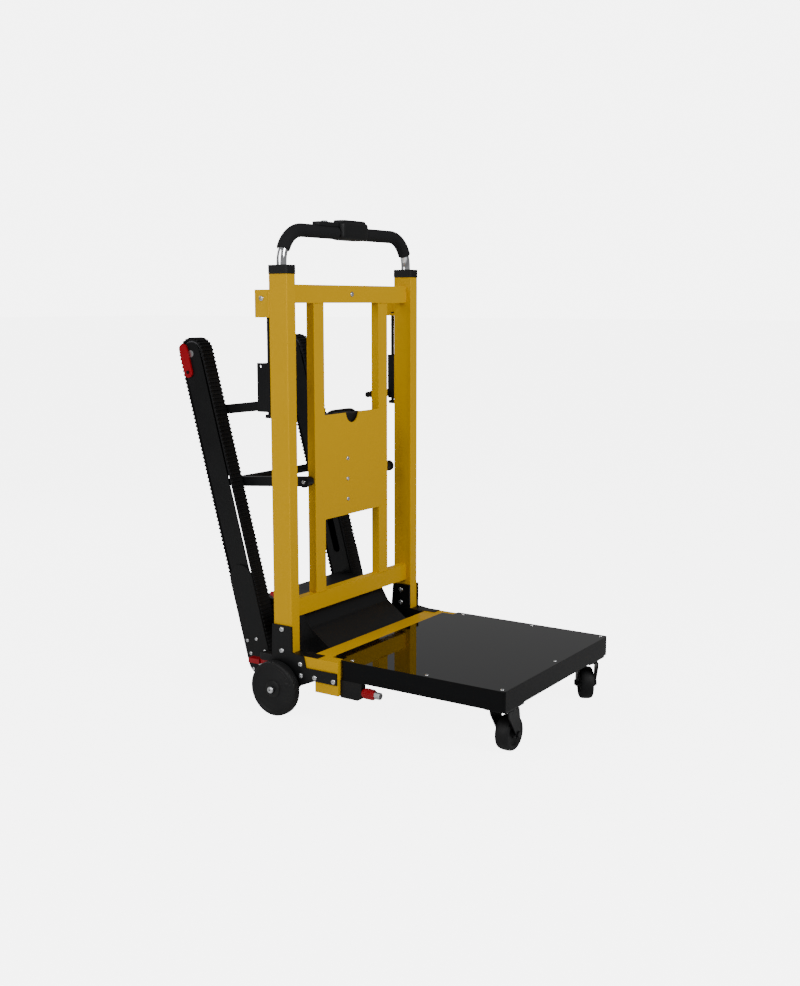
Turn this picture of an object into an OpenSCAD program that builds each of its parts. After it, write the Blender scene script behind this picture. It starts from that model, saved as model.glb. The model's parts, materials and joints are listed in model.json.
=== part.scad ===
// Powered stair climbing trolley: a yellow tube frame with a telescoping handle, a folding
// platform, two folding rubber tracks behind it, two rear wheels and two swivel casters.
// Sizes in mm. X across, Y front to back with the platform towards -Y, Z up from the floor.

/* [Frame] */
// Overall width across the two uprights
frame_w = 516; // [460:4:600]
// Width of an upright tube across the trolley
upright_w = 30; // [26:1:40]
// Depth of an upright tube front to back
upright_d = 50; // [44:1:60]
// Wall thickness of the frame tubes
tube_wall = 2; // [1.5:0.25:3]
// Height of the underside of the uprights above the floor
base_top = 142; // [130:1:160]
// Height of the top of the uprights
upright_top = 976; // [900:4:1100]
// Depth front to back of the crossbars and stiles
bar_d = 20; // [16:1:26]
// Height of a crossbar
bar_h = 40; // [30:1:50]
// Height of the top of the lower crossbar
low_bar_top = 257; // [240:1:280]
// Gap from the top of the uprights down to the top crossbar
top_bar_drop = 22; // [10:1:40]
// Width of a stile across the trolley
stile_w = 38; // [30:1:44]
// Distance from the middle of the trolley to the middle of a stile
stile_x = 127; // [115:1:130]

/* [Battery and panel] */
// Height of the bottom edge of the yellow panel
panel_bottom = 422; // [400:2:460]
// Height of the panel
panel_h = 240; // [200:4:300]
// Thickness of the panel sheet
panel_t = 3; // [2:0.5:4]
// Radius of the finger notch in the panel's top edge
notch_r = 26; // [16:1:34]
// Width of the battery case
battery_w = 150; // [140:4:200]
// Depth of the battery case front to back
battery_d = 50; // [40:2:80]
// Wall thickness of the battery cradle
cradle_t = 3; // [2:0.5:5]

/* [Handle] */
// Outside diameter of the handle tube
handle_d = 22; // [18:1:24]
// Bend radius of the handle tube
handle_bend = 70; // [55:1:85]
// Outside diameter of the foam grip
foam_d = 30; // [27:0.5:33]
// Height of a cap above the upright's top
cap_h = 19; // [12:1:26]
// Length of handle leg inside an upright at rest
leg_inside = 330; // [280:5:360]
// Width of the control sleeve along the bar
sleeve_w = 105; // [90:1:120]

/* [Tracks] */
// Width of a rubber track
belt_w = 40; // [34:1:46]
// Gap between the frame's inner face and the outside of a track
track_gap = 21; // [18:1:26]
// Radius of a track's rounded ends over its teeth
belt_r = 37.5; // [34:0.5:42]
// Thickness of a track from its inside to the tops of its teeth
belt_t = 7; // [6:0.5:8]
// Height of the track's teeth
tooth_h = 3; // [2:0.5:4]
// Number of teeth along one straight run
tooth_count = 40; // [30:1:44]
// Distance between the drive shaft and the top idler
track_run = 731.7; // [650:5:800]
// Backward lean of the tracks at rest
track_lean = 15.37; // [12:0.1:18]
// Distance of the drive shaft behind the middle of the uprights
drive_back = 108.5; // [104:0.5:116]
// Height of the drive shaft
drive_z = 92; // [86:1:100]
// Diameter of the drive shaft
shaft_d = 20; // [16:1:24]
// Thickness of the tracks' side plates
plate_t = 3; // [2:0.5:4]

/* [Folding arms] */
// Width of a folding arm across the trolley
arm_w = 16; // [12:1:17]
// Height of a folding arm
arm_h = 22; // [18:1:26]
// Length of a lower arm from pivot to slot
lower_arm_len = 219; // [205:1:226]
// Height of the lower arms' pivots
lower_pivot_z = 516; // [500:1:530]
// Height of the upper arms' pivots
upper_pivot_z = 691; // [670:1:700]
// Diameter of the arms' pivots
pivot_d = 14; // [10:1:16]

/* [Wheels] */
// Diameter of a rear wheel
wheel_d = 125; // [110:1:136]
// Width of a rear wheel
wheel_w = 24; // [18:1:30]
// Diameter of the rear wheels' axles
axle_d = 12; // [10:1:14]
// Diameter of a caster wheel
caster_d = 75; // [60:1:80]
// Width of a caster wheel
caster_w = 32; // [24:1:34]
// Horizontal distance from a caster's swivel to its wheel's axle
caster_trail = 20; // [14:1:24]

/* [Platform] */
// Length of the platform front to back
platform_l = 441; // [380:5:500]
// Width of the platform
platform_w = 500; // [440:4:510]
// Height of the platform's top surface
platform_top = 147; // [146:0.5:150]
// Thickness of the platform's sheet
sheet_t = 4; // [3:0.5:5]
// Depth of the platform's skirt
skirt_h = 44; // [36:1:48]
// Diameter of the platform's hinge pin
hinge_d = 8; // [6:1:10]

/* [Hidden] */

yellow = [0.93, 0.74, 0.02];
black = [0.06, 0.06, 0.07];
rubber = [0.09, 0.09, 0.10];
steel = [0.78, 0.79, 0.81];
red = [0.70, 0.07, 0.09];
grey = [0.30, 0.31, 0.33];

// Clearances
run_gap = 0.06;
free_gap = 0.4;
side_gap = 1.5;
nudge = 0.2;

// Where the frame's middle plane stands, so the whole part is centred front to back
lean_s = sin(track_lean);
lean_c = cos(track_lean);
platform_gap = 92;
front_reach = upright_d / 2 + platform_gap + platform_l;
rear_reach = drive_back + track_run * lean_s + belt_r;
frame_y = (front_reach - rear_reach) / 2;

// Frame
frame_in = frame_w / 2 - upright_w;
upright_x = frame_w / 2 - upright_w / 2;
upright_h = upright_top - base_top;
top_bar_z = upright_top - top_bar_drop - bar_h;
low_bar_z = low_bar_top - bar_h;
bar_back = frame_y + bar_d / 2;
bar_front = frame_y - bar_d / 2;
stile_in = stile_x - stile_w / 2;
stile_out = stile_x + stile_w / 2;
stile_z = low_bar_top;
stile_h = top_bar_z - low_bar_top;

// Base
base_h = 28;
base_front_h = 76;
base_front_l = 63;
base_front_y = frame_y - 152;
base_back_y = frame_y + upright_d / 2;
beam_y = frame_y - 114;
beam_l = 46;
beam_h = 38;
gusset_t = 4;
gusset_x = frame_w / 2;
inner_plate_t = 5;
cover_t = 1.5;

// Wheels
wheel_y = frame_y + 9;
wheel_z = wheel_d / 2;
wheel_x = gusset_x + gusset_t + 2 + wheel_w / 2;
hub_r = wheel_d / 2 - 13;
bolt_head_r = 6;
bolt_head_h = 3.5;

// Tracks
drive_y = frame_y + drive_back;
track_out = frame_in - track_gap;
track_in = track_out - belt_w;
track_mid = (track_out + track_in) / 2;
loop_r = belt_r - belt_t;
plate_r = loop_r - 4;
plate_out = track_out - 0.5;
plate_in = track_in + 0.5;
roller_w = plate_out - plate_in - 2 * plate_t - 2 * side_gap;
roller_r = loop_r - free_gap;
guard_r = belt_r - 4;
guard_l = 195;
guard_x = track_out + 0.5;
slot_r = 10;
slot_low = 205;
slot_high = 428;
spacer_r = 8;
spacer_places = [0.1, 0.205, 0.655, 0.805];
rail_d = 9;
rail_w = 12;
rail_end = 46;
tooth_pitch = track_run / tooth_count;
lever_along = track_run - 40;
lever_across = 17;
lever_r = 12.5;
lever_l = 55;
lever_t = 4;
lever_x = track_out + 0.5;
lever_pin_r = 4;

// Arms
arm_x = plate_in - 2 - arm_w / 2;
arm_tip = arm_h / 2;
lower_pivot_y = frame_y + 2;
lower_drop = 16.6;
lower_angle = asin(lower_drop / lower_arm_len);
lower_end_y = lower_pivot_y + lower_arm_len * cos(lower_angle);
lower_end_z = lower_pivot_z - lower_drop;
upper_pivot_y = frame_y + upright_d / 2 + 25;
upper_arm_len = 217;
upper_drop = 26;
upper_angle = asin(upper_drop / upper_arm_len);
cross_bar_r = 10;
pivot_head_r = 13;

// Carriage on its guide rod
carriage_h = 107;
carriage_z = upper_pivot_z - 13;
carriage_travel = 95;
rod_x = upright_x;
rod_y = frame_y + upright_d / 2 + 14;
rod_r = 4;
rod_foot_z = carriage_z - 8;
lug_z = carriage_z + carriage_h + carriage_travel + 3;
lug_h = 60;
lug_t = 6;
lug_back = 39;

// Handle
handle_r = handle_d / 2;
cap_top = upright_top + cap_h;
leg_bottom = upright_top - leg_inside;
handle_z = cap_top + 6 + handle_bend;
handle_half = upright_x - handle_bend;
foam_r = foam_d / 2;
foam_from = 22;
foam_joint = 0.1;
sleeve_x = 7.5;
sleeve_low = 16;
sleeve_high = 30;

// Drive housing
housing_x = plate_in - 7;
housing_wall = 3;

// Battery
battery_z = panel_bottom + 8;
battery_h = panel_h - 10;
battery_front = bar_front + panel_t + cradle_t + 1;
cradle_gap = 1;
cradle_h = 120;

// Platform
deck_z = platform_top - sheet_t;
deck_front = -front_reach + frame_y;
deck_back = deck_front + platform_l;
skirt_back = deck_back - 37;
tongue_x = frame_in - 3;
hinge_y = frame_y - 129;
hinge_z = base_top - 8;
tongue_back = hinge_y + 6;
knuckle_r = hinge_d / 2 + 2;
knuckle_x = tongue_x - 30;
lip_w = 30;
edge_r = 6;
screw_r = 4.5;
screw_in = 12;
screw_x = platform_w / 2 - screw_in;
screw_back = skirt_back - screw_in - 10;
screw_mid = (deck_front + screw_back) / 2;
screw_places = [[-screw_x, deck_front + screw_in], [0, deck_front + screw_in],
    [screw_x, deck_front + screw_in], [-screw_x, screw_mid], [screw_x, screw_mid],
    [-screw_x, screw_back], [screw_x, screw_back]];

// Casters
swivel_x = platform_w / 2 - 50;
swivel_y = deck_front + 27;
caster_plate = 78;
caster_plate_l = 50;
caster_plate_t = 5;
caster_plate_z = platform_top - skirt_h - caster_plate_t;
caster_r = caster_d / 2;
fork_w = caster_w + 14;
fork_cheek = 22;
caster_nut_h = 3;
fork_t = 3;
fork_top = caster_plate_z - 1;
caster_turn_left = 179;
caster_turn_right = 213.5;

// Plunger lock under the platform
lock_x = frame_w / 2 - 16;
lock_top = platform_top - skirt_h - 0.5;
lock_bottom = lock_top - 40;
lock_back = base_front_y;
lock_l = 56;
knob_r = 11.5;
knob_z = lock_bottom + 18;
plunger_r = 5;

// Pedal beside the left track
pedal_x = frame_w / 2 - 23;
pedal_w = 28;
pedal_y = frame_y + 22;
pedal_z = 104;
pedal_pin_r = 5;

// A block from its low corner to its high corner
module block(low, high) {
    translate(low)
        cube([high[0] - low[0], high[1] - low[1], high[2] - low[2]]);
}

// The same thing on both sides of the trolley
module both_sides() {
    children();
    mirror([1, 0, 0])
        children();
}

// A round bar along X, from x0 to x1
module rod_x(x0, x1, y, z, r, n = 40) {
    translate([x0, y, z])
        rotate([0, 90, 0])
            cylinder(h = x1 - x0, r = r, $fn = n);
}

// A shape drawn in the Y and Z plane, thickened from x0 to x1
module side_sheet(x0, x1) {
    translate([x0, 0, 0])
        rotate([90, 0, 90])
            linear_extrude(height = x1 - x0)
                children();
}

// A round ended bar in 2D, from the origin along +X for a length, plus its radius at both ends
module long_hole(length, r) {
    union() {
        circle(r = r, $fn = 40);
        translate([length, 0])
            circle(r = r, $fn = 40);
        translate([0, -r])
            square([length, 2 * r]);
    }
}

// A rectangle with round corners in 2D, centred
module soft_rectangle(w, d, r) {
    union() {
        square([w - 2 * r, d], center = true);
        square([w, d - 2 * r], center = true);
        for (sx = [-1, 1])
            for (sy = [-1, 1])
                translate([sx * (w / 2 - r), sy * (d / 2 - r)])
                    circle(r = r, $fn = 24);
    }
}

// The track's own frame: along the track from the drive shaft, across it towards the rear
module on_track() {
    translate([0, drive_y, drive_z])
        rotate([-track_lean, 0, 0])
            children();
}

// A low domed bolt head, standing along +X from a face at x
module side_bolt(x, y, z, r, head) {
    translate([x, y, z])
        rotate([0, 90, 0])
            cylinder(h = head, r1 = r, r2 = r * 0.72, $fn = 24);
}

module uprights() {
    color(yellow)
        both_sides()
            translate([upright_x, frame_y, base_top])
                linear_extrude(height = upright_h)
                    difference() {
                        soft_rectangle(upright_w, upright_d, 2);
                        square([upright_w - 2 * tube_wall, upright_d - 2 * tube_wall], center = true);
                    }
}

module crossbar(z) {
    difference() {
        block([-frame_in, bar_front, z], [frame_in, bar_back, z + bar_h]);
        block([-frame_in - 1, bar_front + tube_wall, z + tube_wall],
            [frame_in + 1, bar_back - tube_wall, z + bar_h - tube_wall]);
    }
}

module crossbars() {
    color(yellow) {
        crossbar(low_bar_z);
        crossbar(top_bar_z);
    }
}

module stiles() {
    color(yellow)
        both_sides()
            difference() {
                block([stile_in, bar_front, stile_z], [stile_out, bar_back, stile_z + stile_h]);
                block([stile_in + tube_wall, bar_front + tube_wall, stile_z - 1],
                    [stile_out - tube_wall, bar_back - tube_wall, stile_z + stile_h + 1]);
                rod_x(stile_out - tube_wall - 1, stile_out + 1, lower_pivot_y, lower_pivot_z, pivot_d / 2);
            }
}

module panel() {
    color(yellow)
        difference() {
            block([-stile_in, bar_front, panel_bottom],
                [stile_in, bar_front + panel_t, panel_bottom + panel_h]);
            translate([0, bar_front - 1, panel_bottom + panel_h + 2])
                rotate([-90, 0, 0])
                    cylinder(h = panel_t + 2, r = notch_r, $fn = 48);
            for (k = [0:2])
                translate([-20, bar_front - 1, panel_bottom + 37 + 48 * k])
                    rotate([-90, 0, 0])
                        cylinder(h = panel_t + 2, r = 2.6, $fn = 24);
        }
}

module panel_screws() {
    color(steel)
        for (k = [0:2])
            translate([-20, bar_front, panel_bottom + 37 + 48 * k])
                rotate([-90, 0, 0]) {
                    cylinder(h = panel_t + cradle_t, r = 2.5, $fn = 24);
                    translate([0, 0, -2.4])
                        cylinder(h = 2.4, r1 = 3.6, r2 = 5, $fn = 24);
                }
}

module upright_caps() {
    color(black)
        both_sides()
            difference() {
                union() {
                    translate([upright_x, frame_y, upright_top])
                        linear_extrude(height = cap_h)
                            soft_rectangle(upright_w + 2, upright_d + 2, 3);
                    translate([upright_x, frame_y, upright_top - 14])
                        linear_extrude(height = 14)
                            square([upright_w - 2 * tube_wall, upright_d - 2 * tube_wall], center = true);
                }
                translate([upright_x, frame_y, upright_top - 15])
                    cylinder(h = cap_h + 16, r = handle_r + run_gap, $fn = 48);
            }
}

module handle_corner() {
    translate([upright_x - handle_bend, frame_y, handle_z - handle_bend])
        rotate([90, 0, 0])
            rotate_extrude(angle = 90, $fn = 64)
                translate([handle_bend, 0])
                    circle(r = handle_r, $fn = 32);
}

module handle_tube() {
    color(steel)
        union() {
            both_sides() {
                translate([upright_x, frame_y, leg_bottom])
                    cylinder(h = handle_z - handle_bend - leg_bottom, r = handle_r, $fn = 32);
                handle_corner();
            }
            rod_x(-handle_half, handle_half, frame_y, handle_z, handle_r, 32);
        }
}

// A tube drawn round the handle's bent corner
module corner_tube(outer, inner, from, span) {
    translate([upright_x - handle_bend, frame_y, handle_z - handle_bend])
        rotate([90, 0, 0])
            rotate([0, 0, from])
                rotate_extrude(angle = span, $fn = 64)
                    translate([handle_bend, 0])
                        difference() {
                            circle(r = outer, $fn = 32);
                            circle(r = inner, $fn = 32);
                        }
}

// One side of the foam grip: a straight sleeve and a bent one, butted with a hair of space
module foam_side(start) {
    corner_tube(foam_r, handle_r, foam_from, 90 - foam_from);
    difference() {
        rod_x(start, handle_half - foam_joint, frame_y, handle_z, foam_r, 32);
        rod_x(start - 1, handle_half + 1, frame_y, handle_z, handle_r, 32);
    }
}

module handle_foam() {
    color(grey) {
        foam_side(sleeve_x + sleeve_w / 2);
        mirror([1, 0, 0])
            foam_side(sleeve_w / 2 - sleeve_x);
    }
}

module control_sleeve() {
    color(black)
        difference() {
            union() {
                block([sleeve_x - sleeve_w / 2, frame_y - 20, handle_z - sleeve_low],
                    [sleeve_x + sleeve_w / 2, frame_y + 20, handle_z + sleeve_high - 5]);
                block([sleeve_x - sleeve_w / 2 + 4, frame_y - 15, handle_z + sleeve_high - 6],
                    [sleeve_x + sleeve_w / 2 - 4, frame_y + 15, handle_z + sleeve_high]);
                block([-sleeve_w - 20, frame_y - 11, handle_z + 10],
                    [sleeve_x - sleeve_w / 2 + 1, frame_y + 11, handle_z + 23]);
            }
            rod_x(sleeve_x - sleeve_w, sleeve_x + sleeve_w, frame_y, handle_z, handle_r, 48);
            rod_x(-sleeve_w - 30, sleeve_x - sleeve_w / 2, frame_y, handle_z, foam_r + free_gap / 2, 48);
            translate([-sleeve_w + 16, frame_y, handle_z + 12])
                cylinder(h = 16, r = 8 + free_gap / 2, $fn = 40);
        }
}

module thumb_switch() {
    color(grey)
        translate([-sleeve_w + 16, frame_y, handle_z + 18.5])
            cylinder(h = 7, r = 8 - free_gap / 2, $fn = 40);
}

module guide_lugs() {
    color(yellow)
        both_sides()
            difference() {
                union() {
                    block([frame_w / 2 - lug_t, frame_y + upright_d / 2, lug_z],
                        [frame_w / 2, frame_y + upright_d / 2 + lug_back, lug_z + lug_h]);
                    block([rod_x - 8, frame_y + upright_d / 2, lug_z],
                        [frame_w / 2 - 1, rod_y + 10, lug_z + lug_t]);
                }
                translate([rod_x, rod_y, lug_z - 1])
                    cylinder(h = lug_t + 2, r = rod_r, $fn = 32);
                rod_x(frame_w / 2 - lug_t - 1, frame_w / 2 + 1, rod_y + 6, lug_z + 41, 4, 24);
            }
}

module guide_rods() {
    color(black)
        both_sides() {
            translate([rod_x, rod_y, rod_foot_z])
                cylinder(h = lug_z + lug_t + 3 - rod_foot_z, r = rod_r, $fn = 32);
            block([rod_x - 7, frame_y + upright_d / 2, rod_foot_z - 6],
                [rod_x + 7, rod_y + 7, rod_foot_z + 2]);
        }
}

module carriages() {
    color(black)
        both_sides()
            difference() {
                union() {
                    block([rod_x - 8, frame_y + upright_d / 2 + 1, carriage_z],
                        [frame_w / 2, rod_y + 8, carriage_z + carriage_h]);
                    block([frame_w / 2 - 4, frame_y + upright_d / 2 + 1, carriage_z],
                        [frame_w / 2, upper_pivot_y + 11, carriage_z + carriage_h]);
                    rod_x(arm_x - arm_w / 2 - 2, frame_w / 2 - 1, upper_pivot_y, upper_pivot_z,
                        pivot_d / 2);
                    rod_x(arm_x + arm_w / 2 + 1, frame_w / 2 - 1, upper_pivot_y, upper_pivot_z,
                        pivot_d / 2 + 2);
                }
                translate([rod_x, rod_y, carriage_z - 1])
                    cylinder(h = carriage_h + 2, r = rod_r + run_gap, $fn = 32);
                rod_x(frame_w / 2 - 5, frame_w / 2 + 1, upper_pivot_y + 2, carriage_z + carriage_h - 8,
                    3, 24);
            }
}

// A flat bar arm with round ends, bored at its pivot, lying back and down from it
module folding_arm(y, z, angle, length) {
    translate([0, y, z])
        rotate([-angle, 0, 0])
            side_sheet(arm_x - arm_w / 2, arm_x + arm_w / 2)
                difference() {
                    long_hole(length, arm_tip);
                    circle(r = pivot_d / 2 + run_gap, $fn = 48);
                    translate([length, 0])
                        circle(r = cross_bar_r - 4, $fn = 40);
                }
}

module upper_arm() {
    color(black)
        mirror([1, 0, 0])
            folding_arm(upper_pivot_y, upper_pivot_z, upper_angle, upper_arm_len);
}

module lower_arms() {
    color(black)
        both_sides()
            folding_arm(lower_pivot_y, lower_pivot_z, lower_angle, lower_arm_len);
}

module arm_cross_bar() {
    color(black)
        union() {
            rod_x(arm_w / 2 - arm_x, arm_x - arm_w / 2, lower_end_y, lower_end_z, cross_bar_r);
            rod_x(-arm_x - arm_w / 2, arm_x + arm_w / 2, lower_end_y, lower_end_z, cross_bar_r - 4);
        }
}

module arm_pivots() {
    color(black)
        both_sides() {
            rod_x(stile_out - tube_wall, plate_in - 2, lower_pivot_y, lower_pivot_z, pivot_d / 2, 48);
            rod_x(plate_in - 1.6, plate_in + 6, lower_pivot_y, lower_pivot_z, pivot_head_r, 48);
            rod_x(plate_in - 2.4, plate_in - 1, lower_pivot_y, lower_pivot_z, pivot_d / 2, 48);
        }
}

// Outer plate, inner slotted plate and lower guard of the track on the +X side
module track_plates() {
    color(black)
        on_track()
            difference() {
                union() {
                    side_sheet(plate_out - plate_t, plate_out)
                        rotate([0, 0, 90])
                            long_hole(track_run, plate_r);
                    side_sheet(guard_x, guard_x + plate_t)
                        rotate([0, 0, 90])
                            long_hole(guard_l, guard_r);
                    rod_x(plate_out - 0.5, guard_x + 0.5, 0, 0, shaft_d / 2 + 6);
                    rod_x(plate_out - 0.5, guard_x + 0.5, 0, guard_l, spacer_r);
                    rod_x(plate_out - 1, lever_x + lever_t + 2.5, lever_across, lever_along,
                        lever_pin_r, 32);
                    for (side = [-1, 1])
                        block([plate_in + plate_t - 0.5, side * loop_r - (side > 0 ? rail_d : 0), rail_end],
                            [side > 0 ? plate_out - plate_t + 0.5 : plate_in + plate_t + rail_w,
                            side * loop_r + (side > 0 ? 0 : rail_d), track_run - rail_end]);
                    side_sheet(plate_in, plate_in + plate_t)
                        difference() {
                            rotate([0, 0, 90])
                                long_hole(track_run, plate_r);
                            translate([0, slot_low])
                                rotate([0, 0, 90])
                                    long_hole(slot_high - slot_low, slot_r);
                        }
                }
                rod_x(plate_in - 1, guard_x + plate_t + 1, 0, 0, shaft_d / 2 + run_gap, 48);
                rod_x(plate_in - 1, plate_out + 0.2, 0, track_run, spacer_r, 48);
            }
}

module track_plates_right() {
    track_plates();
}

module track_plates_left() {
    mirror([1, 0, 0])
        track_plates();
}

module belt_outline() {
    union() {
        rotate([0, 0, 90])
            long_hole(track_run, belt_r - tooth_h);
        for (k = [0:tooth_count - 1])
            for (side = [-1, 1])
                translate([side * (belt_r - tooth_h), (k + 0.5) * tooth_pitch])
                    square([2 * tooth_h, tooth_pitch * 0.55], center = true);
        for (k = [0:5])
            for (end = [0, 1])
                translate([0, end * track_run])
                    rotate([0, 0, end * 180 + 180 + (k + 0.5) * 180 / 6])
                        translate([belt_r - tooth_h, 0])
                            square([2 * tooth_h, tooth_pitch * 0.55], center = true);
    }
}

module belt() {
    color(rubber)
        on_track()
            side_sheet(track_in, track_out)
                intersection() {
                    difference() {
                        belt_outline();
                        rotate([0, 0, 90])
                            long_hole(track_run, loop_r);
                    }
                    rotate([0, 0, 90])
                        long_hole(track_run, belt_r);
                }
}

module belt_right() {
    belt();
}

module belt_left() {
    mirror([1, 0, 0])
        belt();
}

// Posts that hold the two side plates apart, the top one carrying the idler
module track_spacers() {
    color(steel)
        on_track() {
            for (k = spacer_places)
                rod_x(plate_in + plate_t, plate_out - plate_t, 0, k * track_run, spacer_r, 32);
            rod_x(plate_in - 0.4, plate_out + 0.2, 0, track_run, spacer_r, 48);
        }
}

module track_spacers_right() {
    track_spacers();
}

module track_spacers_left() {
    mirror([1, 0, 0])
        track_spacers();
}

// Button heads on the guard at the foot of a track
module track_bolts() {
    color(steel)
        on_track() {
            for (p = [[22, 52], [-6, 52], [20, 21], [23, -16], [-23, 21]])
                side_bolt(guard_x + plate_t, p[0], p[1], 4.5, 2.6);
        }
}

module track_bolts_right() {
    track_bolts();
}

module track_bolts_left() {
    mirror([1, 0, 0])
        track_bolts();
}

module roller(s, bore) {
    on_track()
        difference() {
            rod_x(track_mid - roller_w / 2, track_mid + roller_w / 2, 0, s, roller_r, 64);
            rod_x(track_in, track_out, 0, s, bore, 48);
        }
}

module idler_right() {
    color(grey)
        roller(track_run, spacer_r + run_gap);
}

module idler_left() {
    mirror([1, 0, 0])
        idler_right();
}

module drive_sprockets() {
    color(grey)
        both_sides()
            roller(0, shaft_d / 2);
}

module drive_shaft() {
    color(steel)
        rod_x(-guard_x - plate_t + 0.5, guard_x + plate_t - 0.5, drive_y, drive_z, shaft_d / 2, 48);
}

module track_lever() {
    color(red)
        on_track()
            side_sheet(lever_x, lever_x + lever_t)
                difference() {
                    translate([lever_across, lever_along])
                        rotate([0, 0, 90])
                            long_hole(lever_l, lever_r);
                    translate([lever_across, lever_along])
                        circle(r = lever_pin_r + run_gap, $fn = 40);
                }
}

module lever_right() {
    track_lever();
}

module lever_left() {
    mirror([1, 0, 0])
        track_lever();
}

// Outline of the drive housing seen from the side
module housing_outline(inset) {
    polygon([
        [beam_y + beam_l + inset, base_top - 34 + inset],
        [beam_y + beam_l + inset, base_top - 14 - inset],
        [frame_y - 2 + inset, low_bar_z - 40],
        [frame_y + 30 + inset, low_bar_z + 14 - inset],
        [drive_y + 40 - inset, low_bar_z + 14 - inset],
        [drive_y + 48 - inset, drive_z],
        [drive_y + 20 - inset, drive_z - 34 + inset],
        [frame_y + 10, drive_z - 34 + inset]
    ]);
}

module motor_housing() {
    color(black)
        difference() {
            side_sheet(-housing_x, housing_x)
                housing_outline(0);
            side_sheet(-housing_x + housing_wall, housing_x - housing_wall)
                housing_outline(housing_wall);
            rod_x(-housing_x - 1, housing_x + 1, drive_y, drive_z, shaft_d / 2 + run_gap, 48);
        }
}

module drive_unit() {
    color(grey)
        difference() {
            union() {
                rod_x(-housing_x + housing_wall, 40, drive_y - 4, drive_z + 74, 34, 48);
                block([40, drive_y - 30, drive_z - 28], [90, drive_y + 16, drive_z + 110]);
            }
            rod_x(0, 100, drive_y, drive_z, shaft_d / 2 + run_gap, 48);
        }
}

module wheel_tyre() {
    color(rubber)
        translate([wheel_x, wheel_y, wheel_z])
            rotate([0, 90, 0])
                rotate_extrude($fn = 96)
                    difference() {
                        translate([wheel_d / 2 - 16, 0])
                            union() {
                                translate([0, -wheel_w / 2])
                                    square([11, wheel_w]);
                                translate([0, -wheel_w / 2 + 5])
                                    square([16, wheel_w - 10]);
                                for (s = [-1, 1])
                                    translate([11, s * (wheel_w / 2 - 5)])
                                        circle(r = 5, $fn = 24);
                            }
                        translate([0, wheel_w / 2])
                            square([wheel_d, wheel_w]);
                        translate([0, -wheel_w])
                            square([hub_r, 2 * wheel_w]);
                    }
}

module wheel_hub() {
    color(black)
        translate([wheel_x, wheel_y, wheel_z])
            rotate([0, 90, 0])
                rotate_extrude($fn = 96)
                    union() {
                        translate([axle_d / 2 + run_gap, -wheel_w / 2 + 2])
                            square([hub_r - axle_d / 2 - run_gap, wheel_w - 4]);
                        translate([axle_d / 2 + run_gap, -wheel_w / 2])
                            square([14, wheel_w]);
                    }
}

module wheel_tyre_right() {
    wheel_tyre();
}

module wheel_tyre_left() {
    mirror([1, 0, 0])
        wheel_tyre();
}

module wheel_hub_right() {
    wheel_hub();
}

module wheel_hub_left() {
    mirror([1, 0, 0])
        wheel_hub();
}

module wheel_bolts() {
    color(steel)
        both_sides() {
            rod_x(frame_in - inner_plate_t, wheel_x + wheel_w / 2 + 4, wheel_y, wheel_z, axle_d / 2, 48);
            translate([wheel_x + wheel_w / 2 + 3, wheel_y, wheel_z])
                rotate([0, 90, 0])
                    cylinder(h = 7, r1 = 9, r2 = 7, $fn = 32);
        }
}

// Side view of the black plate that joins upright, base and axle
module gusset_outline() {
    polygon([
        [frame_y - 28, 205],
        [frame_y + 27, 205],
        [frame_y + 29, 120],
        [frame_y + 26, 46],
        [frame_y - 10, 44],
        [frame_y - 49, 73],
        [frame_y - 91, 91],
        [base_front_y + 2, 91],
        [base_front_y + 2, 117],
        [frame_y - 66, 117],
        [frame_y - 60, base_top],
        [frame_y - 28, base_top + 4]
    ]);
}

module gussets() {
    color(black) {
        both_sides()
            difference() {
                side_sheet(gusset_x, gusset_x + gusset_t)
                    gusset_outline();
                rod_x(gusset_x - 1, gusset_x + gusset_t + 1, wheel_y, wheel_z, axle_d / 2, 48);
            }
        rod_x(-gusset_x - 1, -frame_in, pedal_y, pedal_z, pedal_pin_r, 40);
    }
}

module inner_plates() {
    color(black)
        both_sides()
            difference() {
                side_sheet(frame_in - inner_plate_t, frame_in)
                    polygon([
                        [frame_y - 25, 205],
                        [frame_y + 25, 205],
                        [frame_y + 32, 120],
                        [frame_y + 26, 46],
                        [frame_y - 10, 44],
                        [beam_y + beam_l + free_gap, 114],
                        [beam_y + beam_l + free_gap, base_top],
                        [frame_y - 25, base_top + 3]
                    ]);
                rod_x(frame_in - inner_plate_t - 1, frame_in + 1, wheel_y, wheel_z, axle_d / 2, 48);
            }
}

module frame_bolts() {
    color(steel)
        both_sides() {
            for (p = [[-1, 196], [0, 147], [-52, 124], [-53, 98], [-91, 99], [-142, 99]])
                side_bolt(gusset_x + gusset_t, frame_y + p[0], p[1], bolt_head_r, bolt_head_h);
            for (p = [[0, 190], [0, 158]])
                mirror([1, 0, 0])
                    side_bolt(-frame_in + inner_plate_t, frame_y + p[0], p[1], bolt_head_r, bolt_head_h);
            side_bolt(frame_w / 2, rod_y + 6, lug_z + 41, bolt_head_r, bolt_head_h);
            side_bolt(plate_in + 6, lower_pivot_y, lower_pivot_z, 4.5, 2.6);
        }
    color(steel)
        translate([0, bar_front, top_bar_z + bar_h / 2])
            rotate([90, 0, 0])
                cylinder(h = bolt_head_h, r1 = bolt_head_r, r2 = bolt_head_r * 0.72, $fn = 24);
}

module base_ends() {
    color(yellow)
        both_sides()
            difference() {
                union() {
                    block([frame_in, base_front_y, base_top - base_front_h],
                        [frame_w / 2, base_front_y + base_front_l, base_top]);
                    block([frame_in, base_front_y + base_front_l - 1, base_top - base_h],
                        [frame_w / 2, base_back_y, base_top]);
                }
                rod_x(frame_in - 1, frame_in + 10, hinge_y, hinge_z, hinge_d / 2, 48);
            }
}

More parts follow.
